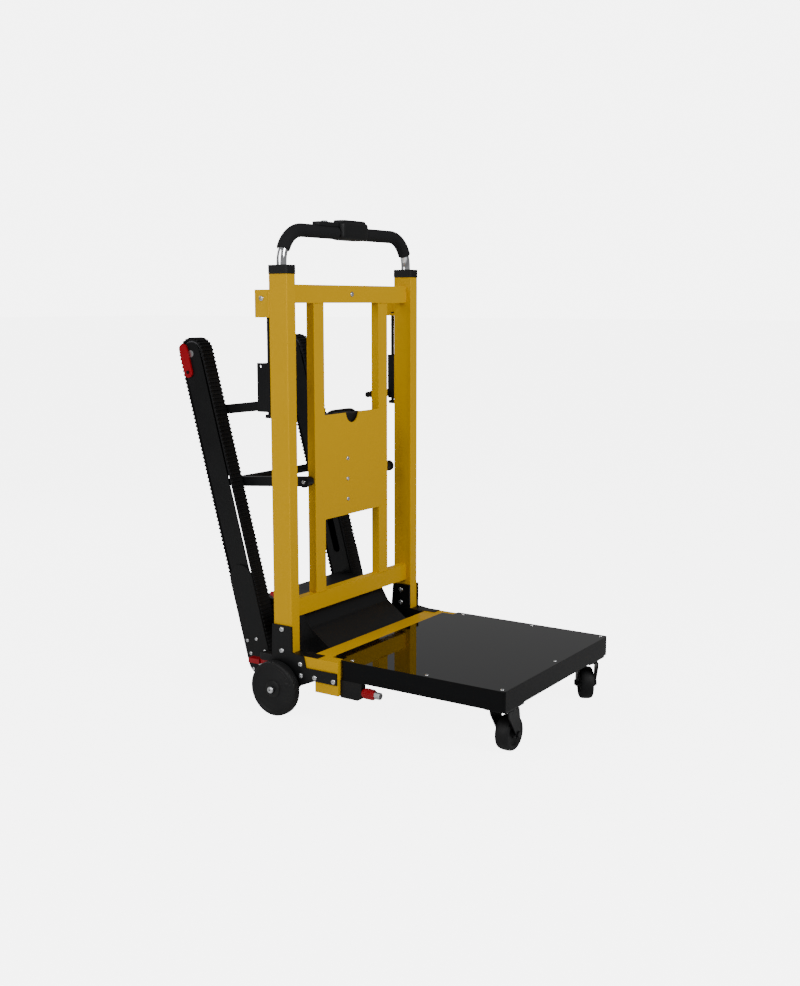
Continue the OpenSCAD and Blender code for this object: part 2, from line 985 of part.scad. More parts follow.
module cross_beam() {
    color(yellow)
        difference() {
            block([-frame_in, beam_y, base_top - beam_h], [frame_in, beam_y + beam_l, base_top]);
            block([-frame_in - 1, beam_y + tube_wall, base_top - beam_h + tube_wall],
                [frame_in + 1, beam_y + beam_l - tube_wall, base_top - tube_wall]);
        }
}

module arm_covers() {
    color(black)
        both_sides()
            block([frame_in + 2, beam_y + beam_l - 28, base_top],
                [frame_w / 2 - 1, frame_y - upright_d / 2 - 1, base_top + cover_t]);
}

module pedal_lever() {
    color(red)
        difference() {
            union() {
                block([-pedal_x - 5, pedal_y, pedal_z - 5], [-pedal_x + 5, pedal_y + 62, pedal_z + 5]);
                block([-pedal_x - 9, pedal_y + 60, pedal_z - 7],
                    [-pedal_x + 9, pedal_y + 92, pedal_z + 4]);
                rod_x(-pedal_x - 6, -pedal_x + 6, pedal_y, pedal_z, pedal_pin_r + 4, 40);
            }
            rod_x(-pedal_x - 9, -pedal_x + 9, pedal_y, pedal_z, pedal_pin_r + run_gap, 40);
        }
}

module pedal_pad() {
    color(rubber)
        block([-pedal_x - pedal_w / 2 + 3, pedal_y + 14, pedal_z + 5],
            [-pedal_x + pedal_w / 2 - 3, pedal_y + 58, pedal_z + 24]);
}

module deck_outline() {
    union() {
        translate([0, (deck_front + skirt_back) / 2])
            soft_rectangle(platform_w, skirt_back - deck_front, edge_r);
        translate([-platform_w / 2, skirt_back - 2 * edge_r])
            square([platform_w, 2 * edge_r]);
        translate([-tongue_x, skirt_back - 1])
            square([2 * tongue_x, tongue_back - skirt_back + 1]);
    }
}

module deck_inside() {
    translate([0, (deck_front + skirt_back) / 2])
        soft_rectangle(platform_w - 2 * sheet_t, skirt_back - deck_front - 2 * sheet_t, 4);
}

module platform_deck() {
    color(black)
        difference() {
            union() {
                translate([0, 0, deck_z])
                    linear_extrude(height = sheet_t)
                        deck_outline();
                translate([0, 0, platform_top - skirt_h])
                    linear_extrude(height = skirt_h - sheet_t + nudge)
                        difference() {
                            translate([0, (deck_front + skirt_back) / 2])
                                soft_rectangle(platform_w, skirt_back - deck_front, edge_r);
                            deck_inside();
                        }
                translate([0, 0, platform_top - skirt_h])
                    linear_extrude(height = 3)
                        difference() {
                            translate([0, (deck_front + skirt_back) / 2])
                                soft_rectangle(platform_w, skirt_back - deck_front, edge_r);
                            translate([0, (deck_front + skirt_back) / 2])
                                square([platform_w - 2 * lip_w, skirt_back - deck_front - 2 * lip_w],
                                    center = true);
                        }
                for (x = [-tongue_x, knuckle_x]) {
                    rod_x(x, x + 30, hinge_y, hinge_z, knuckle_r, 40);
                    block([x, hinge_y - knuckle_r + 2, hinge_z], [x + 30, hinge_y + knuckle_r - 2, deck_z + 1]);
                }
            }
            rod_x(-frame_in, frame_in, hinge_y, hinge_z, hinge_d / 2 + run_gap, 48);
            for (p = screw_places)
                translate([p[0], p[1], platform_top - 2])
                    cylinder(h = 3, r = screw_r, $fn = 24);
        }
}

module platform_screws() {
    color(steel)
        for (p = screw_places)
            translate([p[0], p[1], platform_top - 2])
                cylinder(h = 3.4, r = screw_r, $fn = 24);
}

module hinge_pin() {
    color(steel)
        rod_x(-frame_in - 10, frame_in + 10, hinge_y, hinge_z, hinge_d / 2, 48);
}

module lock_box() {
    color(black)
        difference() {
            side_sheet(-lock_x - 8, -lock_x + 8)
                polygon([
                    [lock_back, lock_bottom],
                    [lock_back, lock_top],
                    [lock_back - lock_l, lock_top],
                    [lock_back - lock_l, lock_bottom + 6],
                    [lock_back - lock_l + 10, lock_bottom]
                ]);
            translate([-lock_x, lock_back - lock_l - 1, knob_z])
                rotate([-90, 0, 0])
                    cylinder(h = lock_l, r = plunger_r + run_gap, $fn = 40);
        }
}

module plunger_knob() {
    color(red)
        translate([-lock_x, lock_back - lock_l - 1, knob_z])
            rotate([90, 0, 0])
                difference() {
                    union() {
                        cylinder(h = 4, r = knob_r - 2, $fn = 48);
                        translate([0, 0, 4])
                            cylinder(h = 22, r = knob_r, $fn = 48);
                        translate([0, 0, 26])
                            cylinder(h = 4, r1 = knob_r, r2 = knob_r - 3, $fn = 48);
                    }
                    translate([0, 0, -1])
                        cylinder(h = 32, r = plunger_r, $fn = 40);
                }
}

module plunger_pin() {
    color(steel)
        translate([-lock_x, lock_back - lock_l - 1, knob_z])
            rotate([90, 0, 0])
                union() {
                    translate([0, 0, -48])
                        cylinder(h = 79, r = plunger_r, $fn = 40);
                    translate([0, 0, 30.5])
                        cylinder(h = 14, r = 8, $fn = 6);
                }
}

module caster_plates() {
    color(black)
        both_sides()
            difference() {
                block([swivel_x - caster_plate / 2, swivel_y - caster_plate_l / 2, caster_plate_z],
                    [swivel_x + caster_plate / 2, swivel_y + caster_plate_l / 2,
                    caster_plate_z + caster_plate_t]);
                translate([swivel_x, swivel_y, caster_plate_z - 1])
                    cylinder(h = caster_plate_t + 2, r = 8 + run_gap, $fn = 48);
            }
}

// Swivel fork with its kingpin and axle, wheel to be carried towards +X before turning
module caster_fork() {
    color(black)
        union() {
            translate([0, 0, fork_top - 4])
                cylinder(h = 4, r = 24, $fn = 48);
            translate([0, 0, fork_top - 1])
                cylinder(h = caster_plate_t + 1, r = 8, $fn = 48);
            for (s = [-1, 1])
                translate([0, s * (fork_w / 2 - fork_t / 2), 0])
                    rotate([90, 0, 0])
                        translate([0, 0, -fork_t / 2])
                            linear_extrude(height = fork_t)
                                polygon([
                                    [-fork_cheek, fork_top - 2],
                                    [fork_cheek, fork_top - 2],
                                    [fork_cheek + 3, fork_top - 16],
                                    [caster_trail + 9, caster_r],
                                    [caster_trail + 5, caster_r - 8],
                                    [caster_trail - 5, caster_r - 8],
                                    [caster_trail - 9, caster_r],
                                    [-fork_cheek + 2, fork_top - 14]
                                ]);
            translate([caster_trail, fork_w / 2 + 1, caster_r])
                rotate([90, 0, 0])
                    cylinder(h = fork_w + 2, r = 4, $fn = 32);
            for (s = [0, 1])
                mirror([0, s, 0])
                    translate([caster_trail, fork_w / 2 + caster_nut_h, caster_r])
                        rotate([90, 0, 0])
                            cylinder(h = caster_nut_h + 1, r = 7, $fn = 6);
        }
}

module caster_wheel() {
    color(rubber)
        translate([caster_trail, 0, caster_r])
            rotate([90, 0, 0])
                rotate_extrude($fn = 64)
                    union() {
                        translate([4 + run_gap, -caster_w / 2])
                            square([caster_r - 8 - run_gap, caster_w]);
                        translate([caster_r - 5, -caster_w / 2 + 4])
                            square([5, caster_w - 8]);
                        for (s = [-1, 1])
                            intersection() {
                                translate([caster_r - 4, s * (caster_w / 2 - 4)])
                                    circle(r = 4, $fn = 24);
                                translate([0, -caster_w])
                                    square([caster_r, 2 * caster_w]);
                            }
                    }
}

module caster_fork_left() {
    translate([-swivel_x, swivel_y, 0])
        rotate([0, 0, caster_turn_left - 180])
            caster_fork();
}

module caster_wheel_left() {
    translate([-swivel_x, swivel_y, 0])
        rotate([0, 0, caster_turn_left - 180])
            caster_wheel();
}

module caster_fork_right() {
    translate([swivel_x, swivel_y, 0])
        rotate([0, 0, caster_turn_right + 180])
            caster_fork();
}

module caster_wheel_right() {
    translate([swivel_x, swivel_y, 0])
        rotate([0, 0, caster_turn_right + 180])
            caster_wheel();
}

module battery() {
    color(black)
        union() {
            block([-battery_w / 2, battery_front + cradle_gap, battery_z],
                [battery_w / 2, battery_front + cradle_gap + battery_d, battery_z + battery_h]);
            block([-battery_w / 2 + 20, battery_front + 12, battery_z + battery_h - 1],
                [battery_w / 2 - 20, battery_front + battery_d - 10, battery_z + battery_h + 8]);
        }
}

module battery_cradle() {
    color(black)
        difference() {
            block([-battery_w / 2 - cradle_gap - cradle_t, bar_front + panel_t,
                battery_z - cradle_t - cradle_gap],
                [battery_w / 2 + cradle_gap + cradle_t, battery_front + battery_d + 2 * cradle_gap + cradle_t, battery_z + cradle_h]);
            block([-battery_w / 2 - cradle_gap, bar_front + panel_t + cradle_t, battery_z - cradle_gap],
                [battery_w / 2 + cradle_gap, battery_front + battery_d + 2 * cradle_gap,
                battery_z + cradle_h + 1]);
            for (k = [0:2])
                translate([-20, bar_front, panel_bottom + 37 + 48 * k])
                    rotate([-90, 0, 0])
                        cylinder(h = panel_t + cradle_t + 2, r = 2.5, $fn = 24);
        }
}

module bump_stop() {
    color(red)
        mirror([1, 0, 0])
            union() {
                block([frame_in + 3, base_back_y, low_bar_top + 2],
                    [frame_in + 13, base_back_y + 16, low_bar_top + 16]);
                translate([frame_in + 8, base_back_y + 15, low_bar_top + 9])
                    rotate([-90, 0, 0])
                        cylinder(h = 9, r = 5, $fn = 32);
            }
}

uprights();
crossbars();
stiles();
panel();
panel_screws();
upright_caps();
handle_tube();
handle_foam();
control_sleeve();
thumb_switch();
guide_lugs();
guide_rods();
carriages();
upper_arm();
lower_arms();
arm_cross_bar();
arm_pivots();
track_plates_left();
track_plates_right();
belt_left();
belt_right();
track_spacers_left();
track_spacers_right();
track_bolts_left();
track_bolts_right();
idler_left();
idler_right();
lever_left();
lever_right();
drive_shaft();
drive_sprockets();
motor_housing();
drive_unit();
wheel_tyre_left();
wheel_tyre_right();
wheel_hub_left();
wheel_hub_right();
wheel_bolts();
gussets();
inner_plates();
frame_bolts();
base_ends();
cross_beam();
arm_covers();
pedal_lever();
pedal_pad();
platform_deck();
platform_screws();
hinge_pin();
lock_box();
plunger_knob();
plunger_pin();
caster_plates();
caster_fork_left();
caster_fork_right();
caster_wheel_left();
caster_wheel_right();
battery();
battery_cradle();
bump_stop();
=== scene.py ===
# %% [markdown]
# # A stair climbing trolley
# This lesson dresses a CAD assembly. The design's own solids give every place and size.
# The pieces whose shape carries the looks, such as belts, tyres, grips and bolts, are built
# again here as smooth surfaces. Each surface is a table of points made by one formula, which
# keeps it exact, light and free of stray faces.

# %%
import json
import bpy
import numpy as np
from math import radians, pi
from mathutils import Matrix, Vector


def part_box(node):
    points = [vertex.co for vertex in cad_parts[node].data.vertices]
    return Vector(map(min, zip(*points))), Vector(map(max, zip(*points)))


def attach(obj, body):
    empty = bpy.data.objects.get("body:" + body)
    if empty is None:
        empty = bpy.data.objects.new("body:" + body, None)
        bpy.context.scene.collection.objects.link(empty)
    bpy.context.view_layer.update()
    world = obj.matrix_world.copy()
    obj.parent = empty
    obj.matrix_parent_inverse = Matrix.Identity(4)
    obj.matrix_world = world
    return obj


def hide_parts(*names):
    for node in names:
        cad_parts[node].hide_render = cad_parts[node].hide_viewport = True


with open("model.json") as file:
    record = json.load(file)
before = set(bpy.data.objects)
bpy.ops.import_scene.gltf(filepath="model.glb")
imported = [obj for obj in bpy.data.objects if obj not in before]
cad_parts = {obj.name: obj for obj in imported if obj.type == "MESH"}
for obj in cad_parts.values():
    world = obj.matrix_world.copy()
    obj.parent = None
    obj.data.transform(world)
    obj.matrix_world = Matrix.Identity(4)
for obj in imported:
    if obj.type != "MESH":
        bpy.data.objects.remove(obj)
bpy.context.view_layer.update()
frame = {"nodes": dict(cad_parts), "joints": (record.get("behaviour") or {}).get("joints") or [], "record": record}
nodes = frame["nodes"]
record = frame["record"]
slot_of = {part["node"]: part["material_slot"] for part in record["subparts"]}
joints = {joint["name"]: joint for joint in frame["joints"]}

# %% [markdown]
# ## Small tools for surfaces
# `loft` takes rings of points and joins each ring to the next, which could also be done by
# hand with a loft or skin tool. Points that coincide are welded, so a ring squeezed to one
# point closes the end like the pole of a globe. The signed volume then tells whether the
# faces look outwards, and turns them if they don't.

# %%
def weld(points, faces):
    keys, back = np.unique(np.round(points, 7), axis=0, return_inverse=True)
    return keys, back.reshape(-1)[faces]


def outward(points, faces):
    a, b, c, d = (points[faces[:, k]] for k in range(4))
    volume = np.einsum("ij,ij->i", a, np.cross(b, c))
    volume = volume + np.einsum("ij,ij->i", a, np.cross(c, d))
    return faces if volume.sum() > 0 else faces[:, ::-1]


def loft(rings, looped=False):
    rings = np.asarray(rings, float)
    if not looped:
        ends = [np.broadcast_to(ring.mean(0), ring.shape)[None]
                for ring in (rings[0], rings[-1])]
        rings = np.concatenate([ends[0], rings, ends[1]])
    n, m = rings.shape[:2]
    rows = np.arange(n if looped else n - 1)[:, None]
    cols = np.arange(m)[None, :]
    here, there = rows * m, ((rows + 1) % n) * m
    next_cols = (cols + 1) % m
    faces = np.stack([here + cols, here + next_cols, there + next_cols, there + cols], -1)
    points, faces = weld(rings.reshape(-1, 3), faces.reshape(-1, 4))
    return points, outward(points, faces)


def join(parts):
    starts = np.cumsum([0] + [len(points) for points, faces in parts[:-1]])
    faces = [faces + start for start, (points, faces) in zip(starts, parts)]
    return np.concatenate([points for points, _ in parts]), np.concatenate(faces)


def piece(name, surface, slot, body, gone=(), smooth=35):
    points, faces = surface
    three = [list(dict.fromkeys(face)) for face in faces.tolist()]
    mesh = bpy.data.meshes.new(name)
    mesh.from_pydata(points.tolist(), [], [face for face in three if len(face) > 2])
    mesh.update()
    mesh.polygons.foreach_set("use_smooth", np.ones(len(mesh.polygons), bool))
    mesh.set_sharp_from_angle(angle=radians(smooth))
    thing = bpy.data.objects.new(name, mesh)
    bpy.context.scene.collection.objects.link(thing)
    mesh.materials.append(finish[slot])
    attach(thing, body)
    if gone:
        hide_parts(*gone)
    print(name, len(mesh.polygons), "faces")


print("tools ready: weld, outward, loft, join, piece")

# %% [markdown]
# `turned` spins a profile of (radius, along) pairs round an axis, as a lathe does. `tube`
# carries a round section along a path that lies in one plane. `block` is a rounded box: its
# section is the superellipse |u|^n + |v|^n = 1, and its ends are drawn in by the same rule,
# so a larger n gives tighter corners.

# %%
def axes_of(direction):
    w = np.asarray(direction, float)
    w = w / np.linalg.norm(w)
    u = np.cross(w, [0.0, 0.0, 1.0] if abs(w[2]) < 0.9 else [1.0, 0.0, 0.0])
    u = u / np.linalg.norm(u)
    return u, np.cross(w, u), w


def turned(profile, centre, direction, steps=64, flute=None):
    profile = np.asarray(profile, float)
    angle = np.linspace(0, 2 * pi, steps, endpoint=False)
    u, v, w = axes_of(direction)
    radius = np.repeat(profile[:, :1], steps, 1)
    if flute is not None:
        radius = radius + flute(angle[None, :], profile[:, 1:2], radius)
    spoke = np.cos(angle)[:, None] * u + np.sin(angle)[:, None] * v
    rings = radius[:, :, None] * spoke[None] + profile[:, 1][:, None, None] * w
    return loft(rings + np.asarray(centre, float))


def tube(path, radius, side, steps=40):
    path = np.asarray(path, float)
    ahead = np.gradient(path, axis=0)
    ahead /= np.linalg.norm(ahead, axis=1)[:, None]
    side = np.asarray(side, float)
    other = np.cross(ahead, side)
    angle = np.linspace(0, 2 * pi, steps, endpoint=False)
    ring = (np.cos(angle)[None, :, None] * side
            + np.sin(angle)[None, :, None] * other[:, None, :])
    return loft(path[:, None, :] + np.broadcast_to(radius, len(path))[:, None, None] * ring)


def block(low, high, power=8.0, axis=0, steps=64, rings=33, wave=None):
    low, high = np.asarray(low, float), np.asarray(high, float)
    centre, half = (low + high) / 2, (high - low) / 2
    a = np.sin(np.linspace(-pi / 2, pi / 2, rings))
    shrink = np.clip(1 - np.abs(a) ** power, 0, 1) ** (1 / power)
    t = np.linspace(0, 2 * pi, steps, endpoint=False)
    c, s = np.cos(t), np.sin(t)
    grow = (np.abs(c) ** power + np.abs(s) ** power) ** (-1 / power)
    out = np.empty((rings, steps, 3))
    p, q = (axis + 1) % 3, (axis + 2) % 3
    out[..., axis] = a[:, None]
    out[..., p] = shrink[:, None] * (grow * c)[None]
    out[..., q] = shrink[:, None] * (grow * s)[None]
    if wave is not None:
        out = wave(out)
    return loft(out * half + centre)


print("tools ready: turned, tube, block")

# %% [markdown]
# One CAD node can hold many equal solids, such as a row of bolts. `solids` tells them apart:
# every point starts with its own number, and each edge passes the lower number on until
# nothing changes, so all the points of one solid end with the same number.

# %%
MOST_PASSES = 400


def solids(node):
    """The lowest and highest corner of each separate solid of a CAD node."""
    mesh = nodes[node].data
    points = np.empty(len(mesh.vertices) * 3)
    mesh.vertices.foreach_get("co", points)
    edges = np.empty(len(mesh.edges) * 2, int)
    mesh.edges.foreach_get("vertices", edges)
    keys, back = np.unique(np.round(points.reshape(-1, 3), 6), axis=0, return_inverse=True)
    a, b = back.reshape(-1)[edges.reshape(-1, 2)].T
    label = np.arange(len(keys))
    for _ in range(MOST_PASSES):
        low = np.minimum(label[a], label[b])
        new = label.copy()
        np.minimum.at(new, a, low)
        np.minimum.at(new, b, low)
        new = new[new]
        if (new == label).all():
            break
        label = new
    return [(keys[label == k].min(0), keys[label == k].max(0)) for k in np.unique(label)]


print("the wheel bolts are", len(solids("wheel_bolts")), "separate solids")

# %% [markdown]
# ## Finishes
# Each finish is one Principled shader fed by small effect groups. They could be painted or
# scanned images, but noise in the object's own coordinates needs no unwrapping and never
# shows a seam. `grain` makes the fine bumps of a powder coat or of moulded plastic.

# %%
def group(name, inputs, outputs):
    tree = bpy.data.node_groups.new(name, "ShaderNodeTree")
    for label, kind, value in inputs:
        socket = tree.interface.new_socket(label, in_out="INPUT", socket_type=kind)
        socket.default_value = value
    for label, kind in outputs:
        tree.interface.new_socket(label, in_out="OUTPUT", socket_type=kind)
    return tree, tree.nodes.new("NodeGroupInput"), tree.nodes.new("NodeGroupOutput")


def grain_group():
    tree, given, out = group("grain", [("Scale", "NodeSocketFloat", 900.0),
        ("Strength", "NodeSocketFloat", 0.1), ("Depth", "NodeSocketFloat", 0.0002)],
        [("Normal", "NodeSocketVector")])
    where = tree.nodes.new("ShaderNodeTexCoord")
    noise = tree.nodes.new("ShaderNodeTexNoise")
    noise.inputs["Detail"].default_value = 3.0
    bump = tree.nodes.new("ShaderNodeBump")
    link = tree.links.new
    link(where.outputs["Object"], noise.inputs["Vector"])
    link(given.outputs["Scale"], noise.inputs["Scale"])
    link(noise.outputs["Fac"], bump.inputs["Height"])
    link(given.outputs["Strength"], bump.inputs["Strength"])
    link(given.outputs["Depth"], bump.inputs["Distance"])
    link(bump.outputs["Normal"], out.inputs["Normal"])
    return tree


grain = grain_group()
print("group", grain.name)

# %% [markdown]
# `cells` is the open skin of foam. The distance inside each Voronoi cell stands for the
# depth of one cut bubble.

# %%
def cells_group():
    tree, given, out = group("cells", [("Scale", "NodeSocketFloat", 700.0),
        ("Depth", "NodeSocketFloat", 0.0004)],
        [("Normal", "NodeSocketVector")])
    where = tree.nodes.new("ShaderNodeTexCoord")
    cell = tree.nodes.new("ShaderNodeTexVoronoi")
    bump = tree.nodes.new("ShaderNodeBump")
    bump.inputs["Strength"].default_value = 0.6
    link = tree.links.new
    link(where.outputs["Object"], cell.inputs["Vector"])
    link(given.outputs["Scale"], cell.inputs["Scale"])
    link(cell.outputs["Distance"], bump.inputs["Height"])
    link(given.outputs["Depth"], bump.inputs["Distance"])
    link(bump.outputs["Normal"], out.inputs["Normal"])
    return tree


cells = cells_group()
print("group", cells.name)

# %% [markdown]
# `wear` drives roughness. A handled surface is never equally glossy, so a slow noise is
# spread between the finish's lowest and highest roughness.

# %%
def wear_group():
    tree, given, out = group("wear", [("Scale", "NodeSocketFloat", 14.0),
        ("Low", "NodeSocketFloat", 0.3), ("High", "NodeSocketFloat", 0.5)],
        [("Value", "NodeSocketFloat")])
    where = tree.nodes.new("ShaderNodeTexCoord")
    noise = tree.nodes.new("ShaderNodeTexNoise")
    noise.inputs["Detail"].default_value = 5.0
    noise.inputs["Roughness"].default_value = 0.6
    spread = tree.nodes.new("ShaderNodeMapRange")
    spread.inputs["From Min"].default_value = 0.3
    spread.inputs["From Max"].default_value = 0.7
    link = tree.links.new
    link(where.outputs["Object"], noise.inputs["Vector"])
    link(given.outputs["Scale"], noise.inputs["Scale"])
    link(noise.outputs["Fac"], spread.inputs["Value"])
    link(given.outputs["Low"], spread.inputs["To Min"])
    link(given.outputs["High"], spread.inputs["To Max"])
    link(spread.outputs["Result"], out.inputs["Value"])
    return tree


wear = wear_group()
print("group", wear.name)

# %% [markdown]
# `tint` makes a colour a little lighter and darker from place to place. It multiplies the
# colour by 1 + amount x (noise - 0.5), so the average colour stays the same.

# %%
def tint_group():
    tree, given, out = group("tint", [("Colour", "NodeSocketColor", (0.5, 0.5, 0.5, 1)),
        ("Amount", "NodeSocketFloat", 0.1), ("Scale", "NodeSocketFloat", 9.0)],
        [("Colour", "NodeSocketColor")])
    where = tree.nodes.new("ShaderNodeTexCoord")
    noise = tree.nodes.new("ShaderNodeTexNoise")
    noise.inputs["Detail"].default_value = 4.0
    level = tree.nodes.new("ShaderNodeMath")
    level.operation = "SUBTRACT"
    level.inputs[1].default_value = 0.5
    scaled = tree.nodes.new("ShaderNodeMath")
    scaled.operation = "MULTIPLY_ADD"
    scaled.inputs[2].default_value = 1.0
    shade = tree.nodes.new("ShaderNodeVectorMath")
    shade.operation = "SCALE"
    link = tree.links.new
    link(where.outputs["Object"], noise.inputs["Vector"])
    link(given.outputs["Scale"], noise.inputs["Scale"])
    link(noise.outputs["Fac"], level.inputs[0])
    link(level.outputs[0], scaled.inputs[0])
    link(given.outputs["Amount"], scaled.inputs[1])
    link(given.outputs["Colour"], shade.inputs[0])
    link(scaled.outputs[0], shade.inputs["Scale"])
    link(shade.outputs["Vector"], out.inputs["Colour"])
    return tree


tint = tint_group()
print("group", tint.name)

# %% [markdown]
# `coat` puts the groups together. `low` and `high` are the roughness limits, `scale`,
# `strength` and `depth` (m) shape the bumps, `amount` is how far the colour shifts, and
# `shine` is the strength of the reflection where the surface isn't metal.

# %%
finish = {}


def coat(name, colour, low, high, scale=900.0, strength=0.1, depth=0.0002, amount=0.08,
         metallic=0.0, clear=0.0, foam=False, shine=0.25):
    material = bpy.data.materials.new(name)
    material.use_nodes = True
    tree = material.node_tree
    shader = next(n for n in tree.nodes if n.type == "BSDF_PRINCIPLED")

    def use(made, **values):
        node = tree.nodes.new("ShaderNodeGroup")
        node.node_tree = made
        for key, value in values.items():
            node.inputs[key].default_value = value
        return node

    shader.inputs["Metallic"].default_value = metallic
    shader.inputs["Coat Weight"].default_value = clear
    shader.inputs["Coat Roughness"].default_value = 0.12
    shader.inputs["Specular IOR Level"].default_value = 0.5 if metallic else shine
    tone = use(tint, Colour=(*colour, 1), Amount=amount)
    gloss = use(wear, Low=low, High=high)
    if foam:
        relief = use(cells, Scale=scale, Depth=depth)
    else:
        relief = use(grain, Scale=scale, Strength=strength, Depth=depth)
    tree.links.new(tone.outputs["Colour"], shader.inputs["Base Color"])
    tree.links.new(gloss.outputs["Value"], shader.inputs["Roughness"])
    tree.links.new(relief.outputs["Normal"], shader.inputs["Normal"])
    finish[name] = material


print("coat ready")

# %% [markdown]
# The frame has a smooth yellow powder coat, and the folding parts a fine black one. The
# deck's paint is glossy. The handle is chromed, so it's nearly a mirror, while bolts are
# plain steel. Plastics are satin, rubbers are dull, and foam is the dullest of all.

# %%
coat("yellow_coat", (0.60, 0.335, 0.0), 0.32, 0.46, scale=700, amount=0.05, shine=0.10)
coat("black_coat", (0.0055, 0.0055, 0.006), 0.34, 0.46, scale=1100, strength=0.22,
     amount=0.15, shine=0.2)
coat("gloss_black", (0.002, 0.002, 0.0025), 0.02, 0.05, scale=260, strength=0.012,
     amount=0.1, shine=0.5)
coat("bright_steel", (0.62, 0.63, 0.64), 0.18, 0.34, scale=1500, depth=0.0001,
     amount=0.06, metallic=1.0)
coat("handle_chrome", (0.80, 0.81, 0.83), 0.05, 0.11, scale=500, strength=0.02,
     depth=0.0001, amount=0.03, metallic=1.0)
coat("grip_foam", (0.012, 0.012, 0.013), 0.75, 0.92, depth=0.0005, amount=0.25,
     foam=True, shine=0.15)
coat("black_plastic", (0.006, 0.006, 0.0065), 0.42, 0.56, scale=1600, strength=0.30,
     amount=0.12)
coat("grey_plastic", (0.30, 0.31, 0.33), 0.34, 0.46, scale=1500, strength=0.20,
     amount=0.06)
coat("cast_metal", (0.17, 0.17, 0.18), 0.38, 0.58, scale=420, strength=0.35,
     depth=0.0006, amount=0.15, metallic=0.9)
coat("track_rubber", (0.006, 0.006, 0.0065), 0.50, 0.68, scale=800, strength=0.35,
     depth=0.0004, amount=0.2, shine=0.15)
coat("wheel_rubber", (0.008, 0.008, 0.0085), 0.46, 0.62, strength=0.30, depth=0.0003,
     amount=0.2, shine=0.2)
coat("pad_rubber", (0.010, 0.010, 0.011), 0.55, 0.70, strength=0.35, depth=0.0003,
     amount=0.2)
coat("red_plastic", (0.30, 0.002, 0.008), 0.22, 0.36, strength=0.08, amount=0.06,
     clear=0.1)
print(len(finish), "finishes")

# %% [markdown]
# The platform's top is polished and its folded skirt is satin. Two materials on chosen
# faces would also do, but both are one solid, so one finish serves them: the object's own
# normal says which faces look up, and that mask swaps the roughness and the strength of the
# reflection. The normal turns with the platform, so the top stays polished when it folds.

# %%
FLAT_FROM, FLAT_TO = 0.35, 0.75
tree = finish["gloss_black"].node_tree
shader = next(n for n in tree.nodes if n.type == "BSDF_PRINCIPLED")
facing = tree.nodes.new("ShaderNodeTexCoord")
split = tree.nodes.new("ShaderNodeSeparateXYZ")
tree.links.new(facing.outputs["Normal"], split.inputs["Vector"])
old_gloss = shader.inputs["Roughness"].links[0].from_socket


def by_facing(side_value, top_value, top_socket=None):
    swap = tree.nodes.new("ShaderNodeMapRange")
    swap.inputs["From Min"].default_value = FLAT_FROM
    swap.inputs["From Max"].default_value = FLAT_TO
    swap.inputs["To Min"].default_value = side_value
    swap.inputs["To Max"].default_value = top_value
    tree.links.new(split.outputs["Z"], swap.inputs["Value"])
    if top_socket is not None:
        tree.links.new(top_socket, swap.inputs["To Max"])
    return swap.outputs["Result"]


tree.links.new(by_facing(0.36, 0.03, old_gloss), shader.inputs["Roughness"])
tree.links.new(by_facing(0.10, 0.50), shader.inputs["Specular IOR Level"])
print("platform finish set by facing")

# %% [markdown]
# ## The CAD pieces that stay
# Folded sheet, tube and machined blocks already have the right form. They only need their
# finish and a small rounded edge, because a real edge is never sharp and shows a thin
# line of light. A bevel modifier with an angle limit gives that without touching the mesh.

# %%
PLAIN_EDGE = 0.0006
edge_size = {
    "platform_deck": 0.0022, "uprights": 0.0012, "stiles": 0.0012, "crossbars": 0.001,
    "cross_beam": 0.0015, "base_ends": 0.0012, "carriages": 0.0015, "upper_arm": 0.0015,
    "lower_arms": 0.0015, "lever_left": 0.0009, "lever_right": 0.0009, "panel": 0.0007,
    "pedal_lever": 0.001, "upright_caps": 0.0015, "lock_box": 0.0012,
    "motor_housing": 0.0015}
for name, thing in nodes.items():
    thing.data.materials.clear()
    thing.data.materials.append(finish[slot_of[name]])
    bevel = thing.modifiers.new("soft_edge", "BEVEL")
    bevel.width = edge_size.get(name, PLAIN_EDGE)
    bevel.segments = 2
    bevel.limit_method = "ANGLE"
    bevel.angle_limit = radians(40)
    bevel.harden_normals = True
print("edges rounded on", len(nodes), "pieces")

# %% [markdown]
# ## The two belts
# A belt is a band round two rollers, so its path is a stadium: two straight runs joined by
# half circles. The band's outer face carries narrow teeth. One tooth could be modelled and
# copied along the path, but here the tooth height is a clipped cosine of the distance along
# the path, which gives flat tops, flat roots and sloping flanks in one closed surface.

# %%
low_box, high_box = (np.array(c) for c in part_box("belt_right"))
belt_in, belt_out = low_box[0], high_box[0]
drive = np.array(joints["drive_spin"]["pos_m"])
idler = np.array(joints["idler_spin_right"]["pos_m"])
run = np.linalg.norm((idler - drive)[1:])
along = np.array([0, *((idler - drive)[1:] / run)])
across = np.array([0, along[2], -along[1]])
LOOP_R, PITCH_R, BELT_TOOTH = 0.0305, 0.0375, 0.003
TEETH, PER_TOOTH = 180, 10
STEEPNESS, DUTY = 1.7, 0.55


